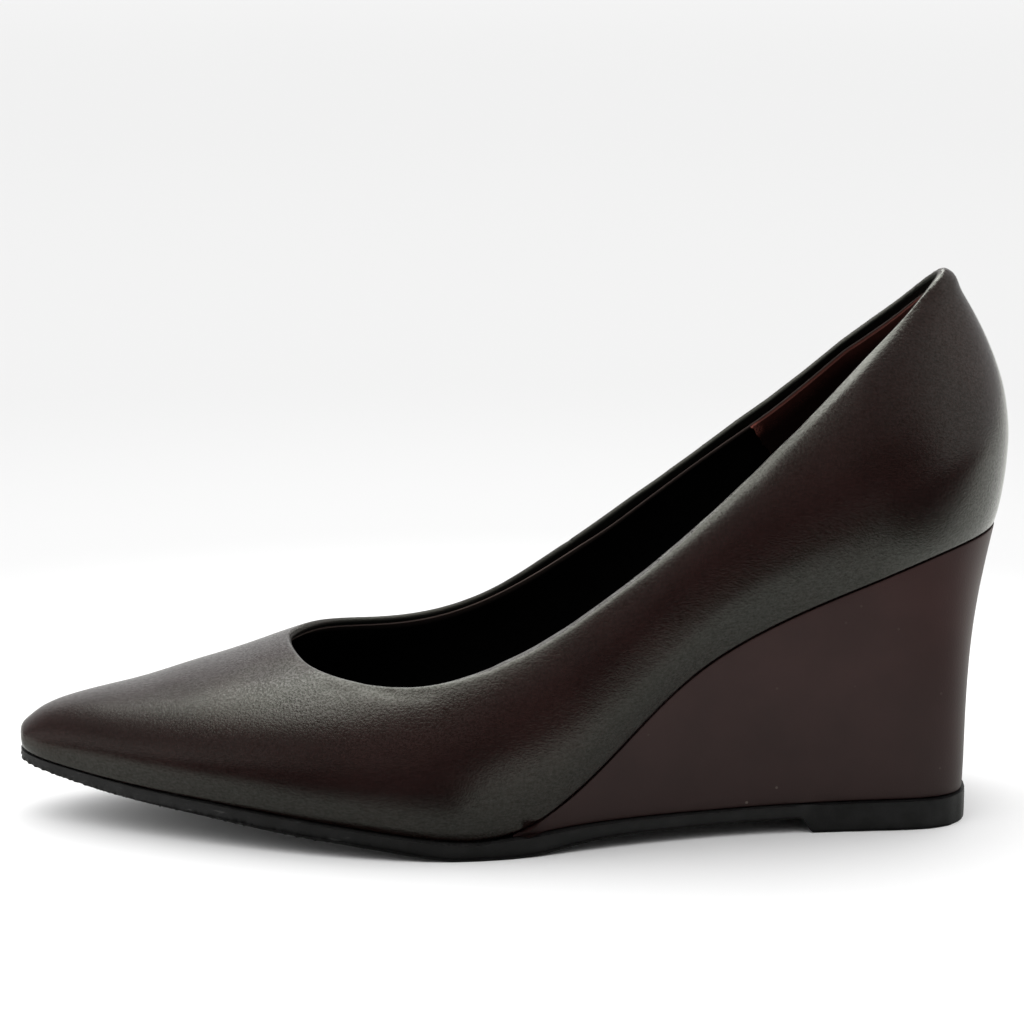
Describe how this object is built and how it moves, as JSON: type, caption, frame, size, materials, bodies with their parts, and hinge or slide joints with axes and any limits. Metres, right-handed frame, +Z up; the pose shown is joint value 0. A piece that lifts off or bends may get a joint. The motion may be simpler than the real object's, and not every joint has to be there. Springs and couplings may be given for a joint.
{
  "type": "wedge shoe",
  "caption": "Left pointed-toe leather pump on a tall covered wedge, with a hollow upper open at the topline, an insole and a moulded rubber outsole with heel lift.",
  "frame": {"origin": "on the floor, below the middle of the shoe's box", "axes": "+X from the toe to the heel, +Y from the outer side to the inner side, +Z up"},
  "size_m": [0.2394, 0.0812, 0.131],
  "materials": {
    "upper_leather": "smooth dark brown leather, semi-gloss",
    "sock_lining": "matt black lining leather",
    "wedge_leather": "dark brown cover leather, low sheen",
    "sole_rubber": "black moulded rubber, matt"
  },
  "bodies": {
    "root": {"upper": "upper_leather", "insole": "sock_lining", "wedge_heel": "wedge_leather", "outsole": "sole_rubber"}
  },
  "joints": []
}
